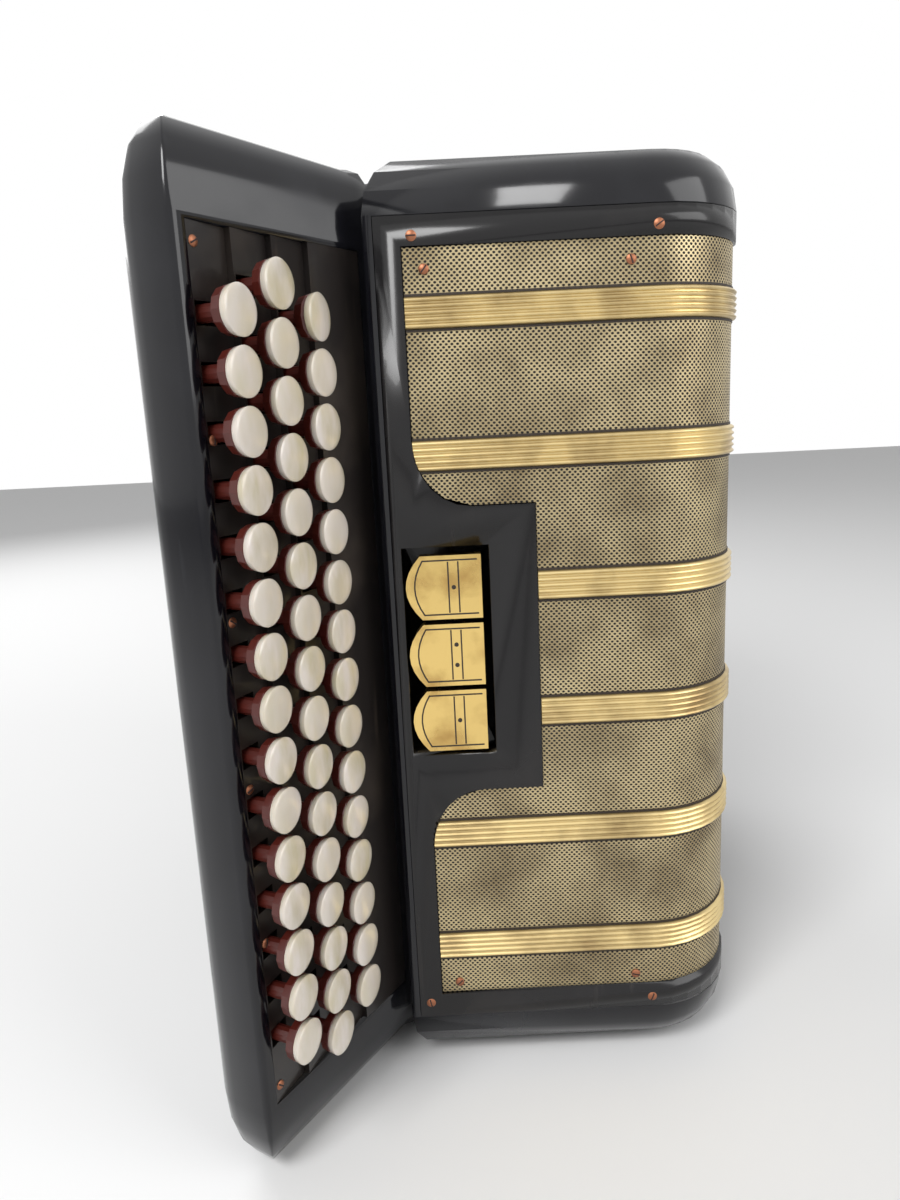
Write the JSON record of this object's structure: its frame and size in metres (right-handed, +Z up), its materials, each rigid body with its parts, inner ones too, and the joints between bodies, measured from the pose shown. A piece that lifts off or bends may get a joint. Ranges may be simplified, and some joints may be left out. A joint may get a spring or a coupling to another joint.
{
  "type": "accordion",
  "caption": "Chromatic button accordion with stepped treble button board, banded grille, register rockers, folded bellows and strapped bass case.",
  "frame": {"origin": "under the middle of the closed bellows, on the surface the feet rest on", "axes": "+Z up along the button rows, -Y towards the treble end, +X to the front, away from the player"},
  "size_m": [0.2194, 0.3987, 0.3801],
  "materials": {
    "pearl": "pearl celluloid caps on red-brown bodies",
    "celluloid": "black celluloid, glossy, scratched",
    "gilt": "polished gold coloured metal",
    "leather": "dark leather",
    "board": "dark lacquer, dusty",
    "brass": "antique pale brass, perforated",
    "bellows_cloth": "cloth and card folds",
    "bass_buttons": "pale bass buttons on a dark board",
    "chrome": "bright metal"
  },
  "bodies": {
    "bass": {"bass_case": "celluloid", "bass_board": "bass_buttons", "hand_strap": "leather", "bellows_strap_top": "leather", "bellows_strap_bottom": "leather"},
    "treble": {"treble_case": "celluloid", "button_board": "board", "grille_frame": "celluloid", "grille": "brass", "bellows": "bellows_cloth"},
    "air": {"air_button": "chrome"},
    "key_outer_01": {"key_outer_01": "pearl"},
    "key_outer_02": {"key_outer_02": "pearl"},
    "key_outer_03": {"key_outer_03": "pearl"},
    "key_outer_04": {"key_outer_04": "pearl"},
    "key_outer_05": {"key_outer_05": "pearl"},
    "key_outer_06": {"key_outer_06": "pearl"},
    "key_outer_07": {"key_outer_07": "pearl"},
    "key_outer_08": {"key_outer_08": "pearl"},
    "key_outer_09": {"key_outer_09": "pearl"},
    "key_outer_10": {"key_outer_10": "pearl"},
    "key_outer_11": {"key_outer_11": "pearl"},
    "key_outer_12": {"key_outer_12": "pearl"},
    "key_outer_13": {"key_outer_13": "pearl"},
    "key_outer_14": {"key_outer_14": "pearl"},
    "key_outer_15": {"key_outer_15": "pearl"},
    "key_middle_01": {"key_middle_01": "pearl"},
    "key_middle_02": {"key_middle_02": "pearl"},
    "key_middle_03": {"key_middle_03": "pearl"},
    "key_middle_04": {"key_middle_04": "pearl"},
    "key_middle_05": {"key_middle_05": "pearl"},
    "key_middle_06": {"key_middle_06": "pearl"},
    "key_middle_07": {"key_middle_07": "pearl"},
    "key_middle_08": {"key_middle_08": "pearl"},
    "key_middle_09": {"key_middle_09": "pearl"},
    "key_middle_10": {"key_middle_10": "pearl"},
    "key_middle_11": {"key_middle_11": "pearl"},
    "key_middle_12": {"key_middle_12": "pearl"},
    "key_middle_13": {"key_middle_13": "pearl"},
    "key_middle_14": {"key_middle_14": "pearl"},
    "key_middle_15": {"key_middle_15": "pearl"},
    "key_middle_16": {"key_middle_16": "pearl"},
    "key_inner_01": {"key_inner_01": "pearl"},
    "key_inner_02": {"key_inner_02": "pearl"},
    "key_inner_03": {"key_inner_03": "pearl"},
    "key_inner_04": {"key_inner_04": "pearl"},
    "key_inner_05": {"key_inner_05": "pearl"},
    "key_inner_06": {"key_inner_06": "pearl"},
    "key_inner_07": {"key_inner_07": "pearl"},
    "key_inner_08": {"key_inner_08": "pearl"},
    "key_inner_09": {"key_inner_09": "pearl"},
    "key_inner_10": {"key_inner_10": "pearl"},
    "key_inner_11": {"key_inner_11": "pearl"},
    "key_inner_12": {"key_inner_12": "pearl"},
    "key_inner_13": {"key_inner_13": "pearl"},
    "key_inner_14": {"key_inner_14": "pearl"},
    "key_inner_15": {"key_inner_15": "pearl"},
    "register_1": {"register_1": "gilt"},
    "register_2": {"register_2": "gilt"},
    "register_3": {"register_3": "gilt"}
  },
  "joints": [
    {"name": "bellows_slide", "type": "slide", "parent": "bass", "child": "treble", "axis": [0, -1, 0], "range_m": [0, 0.26], "deforming": ["bellows"]},
    {"name": "air_press", "type": "slide", "parent": "bass", "child": "air", "axis": [0, -1, 0], "range_m": [0, 0.005], "stiffness_N_per_m": 400},
    {"name": "key_outer_01_press", "type": "slide", "parent": "treble", "child": "key_outer_01", "axis": [-0.9063, 0.4226, 0], "range_m": [0, 0.0045], "stiffness_N_per_m": 150},
    {"name": "key_outer_02_press", "type": "slide", "parent": "treble", "child": "key_outer_02", "axis": [-0.9063, 0.4226, 0], "range_m": [0, 0.0045], "stiffness_N_per_m": 150},
    {"name": "key_outer_03_press", "type": "slide", "parent": "treble", "child": "key_outer_03", "axis": [-0.9063, 0.4226, 0], "range_m": [0, 0.0045], "stiffness_N_per_m": 150},
    {"name": "key_outer_04_press", "type": "slide", "parent": "treble", "child": "key_outer_04", "axis": [-0.9063, 0.4226, 0], "range_m": [0, 0.0045], "stiffness_N_per_m": 150},
    {"name": "key_outer_05_press", "type": "slide", "parent": "treble", "child": "key_outer_05", "axis": [-0.9063, 0.4226, 0], "range_m": [0, 0.0045], "stiffness_N_per_m": 150},
    {"name": "key_outer_06_press", "type": "slide", "parent": "treble", "child": "key_outer_06", "axis": [-0.9063, 0.4226, 0], "range_m": [0, 0.0045], "stiffness_N_per_m": 150},
    {"name": "key_outer_07_press", "type": "slide", "parent": "treble", "child": "key_outer_07", "axis": [-0.9063, 0.4226, 0], "range_m": [0, 0.0045], "stiffness_N_per_m": 150},
    {"name": "key_outer_08_press", "type": "slide", "parent": "treble", "child": "key_outer_08", "axis": [-0.9063, 0.4226, 0], "range_m": [0, 0.0045], "stiffness_N_per_m": 150},
    {"name": "key_outer_09_press", "type": "slide", "parent": "treble", "child": "key_outer_09", "axis": [-0.9063, 0.4226, 0], "range_m": [0, 0.0045], "stiffness_N_per_m": 150},
    {"name": "key_outer_10_press", "type": "slide", "parent": "treble", "child": "key_outer_10", "axis": [-0.9063, 0.4226, 0], "range_m": [0, 0.0045], "stiffness_N_per_m": 150},
    {"name": "key_outer_11_press", "type": "slide", "parent": "treble", "child": "key_outer_11", "axis": [-0.9063, 0.4226, 0], "range_m": [0, 0.0045], "stiffness_N_per_m": 150},
    {"name": "key_outer_12_press", "type": "slide", "parent": "treble", "child": "key_outer_12", "axis": [-0.9063, 0.4226, 0], "range_m": [0, 0.0045], "stiffness_N_per_m": 150},
    {"name": "key_outer_13_press", "type": "slide", "parent": "treble", "child": "key_outer_13", "axis": [-0.9063, 0.4226, 0], "range_m": [0, 0.0045], "stiffness_N_per_m": 150},
    {"name": "key_outer_14_press", "type": "slide", "parent": "treble", "child": "key_outer_14", "axis": [-0.9063, 0.4226, 0], "range_m": [0, 0.0045], "stiffness_N_per_m": 150},
    {"name": "key_outer_15_press", "type": "slide", "parent": "treble", "child": "key_outer_15", "axis": [-0.9063, 0.4226, 0], "range_m": [0, 0.0045], "stiffness_N_per_m": 150},
    {"name": "key_middle_01_press", "type": "slide", "parent": "treble", "child": "key_middle_01", "axis": [-0.9063, 0.4226, 0], "range_m": [0, 0.0045], "stiffness_N_per_m": 150},
    {"name": "key_middle_02_press", "type": "slide", "parent": "treble", "child": "key_middle_02", "axis": [-0.9063, 0.4226, 0], "range_m": [0, 0.0045], "stiffness_N_per_m": 150},
    {"name": "key_middle_03_press", "type": "slide", "parent": "treble", "child": "key_middle_03", "axis": [-0.9063, 0.4226, 0], "range_m": [0, 0.0045], "stiffness_N_per_m": 150},
    {"name": "key_middle_04_press", "type": "slide", "parent": "treble", "child": "key_middle_04", "axis": [-0.9063, 0.4226, 0], "range_m": [0, 0.0045], "stiffness_N_per_m": 150},
    {"name": "key_middle_05_press", "type": "slide", "parent": "treble", "child": "key_middle_05", "axis": [-0.9063, 0.4226, 0], "range_m": [0, 0.0045], "stiffness_N_per_m": 150},
    {"name": "key_middle_06_press", "type": "slide", "parent": "treble", "child": "key_middle_06", "axis": [-0.9063, 0.4226, 0], "range_m": [0, 0.0045], "stiffness_N_per_m": 150},
    {"name": "key_middle_07_press", "type": "slide", "parent": "treble", "child": "key_middle_07", "axis": [-0.9063, 0.4226, 0], "range_m": [0, 0.0045], "stiffness_N_per_m": 150},
    {"name": "key_middle_08_press", "type": "slide", "parent": "treble", "child": "key_middle_08", "axis": [-0.9063, 0.4226, 0], "range_m": [0, 0.0045], "stiffness_N_per_m": 150},
    {"name": "key_middle_09_press", "type": "slide", "parent": "treble", "child": "key_middle_09", "axis": [-0.9063, 0.4226, 0], "range_m": [0, 0.0045], "stiffness_N_per_m": 150},
    {"name": "key_middle_10_press", "type": "slide", "parent": "treble", "child": "key_middle_10", "axis": [-0.9063, 0.4226, 0], "range_m": [0, 0.0045], "stiffness_N_per_m": 150},
    {"name": "key_middle_11_press", "type": "slide", "parent": "treble", "child": "key_middle_11", "axis": [-0.9063, 0.4226, 0], "range_m": [0, 0.0045], "stiffness_N_per_m": 150},
    {"name": "key_middle_12_press", "type": "slide", "parent": "treble", "child": "key_middle_12", "axis": [-0.9063, 0.4226, 0], "range_m": [0, 0.0045], "stiffness_N_per_m": 150},
    {"name": "key_middle_13_press", "type": "slide", "parent": "treble", "child": "key_middle_13", "axis": [-0.9063, 0.4226, 0], "range_m": [0, 0.0045], "stiffness_N_per_m": 150},
    {"name": "key_middle_14_press", "type": "slide", "parent": "treble", "child": "key_middle_14", "axis": [-0.9063, 0.4226, 0], "range_m": [0, 0.0045], "stiffness_N_per_m": 150},
    {"name": "key_middle_15_press", "type": "slide", "parent": "treble", "child": "key_middle_15", "axis": [-0.9063, 0.4226, 0], "range_m": [0, 0.0045], "stiffness_N_per_m": 150},
    {"name": "key_middle_16_press", "type": "slide", "parent": "treble", "child": "key_middle_16", "axis": [-0.9063, 0.4226, 0], "range_m": [0, 0.0045], "stiffness_N_per_m": 150},
    {"name": "key_inner_01_press", "type": "slide", "parent": "treble", "child": "key_inner_01", "axis": [-0.9063, 0.4226, 0], "range_m": [0, 0.0045], "stiffness_N_per_m": 150},
    {"name": "key_inner_02_press", "type": "slide", "parent": "treble", "child": "key_inner_02", "axis": [-0.9063, 0.4226, 0], "range_m": [0, 0.0045], "stiffness_N_per_m": 150},
    {"name": "key_inner_03_press", "type": "slide", "parent": "treble", "child": "key_inner_03", "axis": [-0.9063, 0.4226, 0], "range_m": [0, 0.0045], "stiffness_N_per_m": 150},
    {"name": "key_inner_04_press", "type": "slide", "parent": "treble", "child": "key_inner_04", "axis": [-0.9063, 0.4226, 0], "range_m": [0, 0.0045], "stiffness_N_per_m": 150},
    {"name": "key_inner_05_press", "type": "slide", "parent": "treble", "child": "key_inner_05", "axis": [-0.9063, 0.4226, 0], "range_m": [0, 0.0045], "stiffness_N_per_m": 150},
    {"name": "key_inner_06_press", "type": "slide", "parent": "treble", "child": "key_inner_06", "axis": [-0.9063, 0.4226, 0], "range_m": [0, 0.0045], "stiffness_N_per_m": 150},
    {"name": "key_inner_07_press", "type": "slide", "parent": "treble", "child": "key_inner_07", "axis": [-0.9063, 0.4226, 0], "range_m": [0, 0.0045], "stiffness_N_per_m": 150},
    {"name": "key_inner_08_press", "type": "slide", "parent": "treble", "child": "key_inner_08", "axis": [-0.9063, 0.4226, 0], "range_m": [0, 0.0045], "stiffness_N_per_m": 150},
    {"name": "key_inner_09_press", "type": "slide", "parent": "treble", "child": "key_inner_09", "axis": [-0.9063, 0.4226, 0], "range_m": [0, 0.0045], "stiffness_N_per_m": 150},
    {"name": "key_inner_10_press", "type": "slide", "parent": "treble", "child": "key_inner_10", "axis": [-0.9063, 0.4226, 0], "range_m": [0, 0.0045], "stiffness_N_per_m": 150},
    {"name": "key_inner_11_press", "type": "slide", "parent": "treble", "child": "key_inner_11", "axis": [-0.9063, 0.4226, 0], "range_m": [0, 0.0045], "stiffness_N_per_m": 150},
    {"name": "key_inner_12_press", "type": "slide", "parent": "treble", "child": "key_inner_12", "axis": [-0.9063, 0.4226, 0], "range_m": [0, 0.0045], "stiffness_N_per_m": 150},
    {"name": "key_inner_13_press", "type": "slide", "parent": "treble", "child": "key_inner_13", "axis": [-0.9063, 0.4226, 0], "range_m": [0, 0.0045], "stiffness_N_per_m": 150},
    {"name": "key_inner_14_press", "type": "slide", "parent": "treble", "child": "key_inner_14", "axis": [-0.9063, 0.4226, 0], "range_m": [0, 0.0045], "stiffness_N_per_m": 150},
    {"name": "key_inner_15_press", "type": "slide", "parent": "treble", "child": "key_inner_15", "axis": [-0.9063, 0.4226, 0], "range_m": [0, 0.0045], "stiffness_N_per_m": 150},
    {"name": "register_1_rock", "type": "hinge", "parent": "treble", "child": "register_1", "pos_m": [-0.00875, -0.1455, 0.191], "axis": [0, 0, 1], "range_deg": [-6, 6]},
    {"name": "register_2_rock", "type": "hinge", "parent": "treble", "child": "register_2", "pos_m": [-0.00875, -0.1455, 0.191], "axis": [0, 0, 1], "range_deg": [-6, 6]},
    {"name": "register_3_rock", "type": "hinge", "parent": "treble", "child": "register_3", "pos_m": [-0.00875, -0.1455, 0.191], "axis": [0, 0, 1], "range_deg": [-6, 6]}
  ]
}
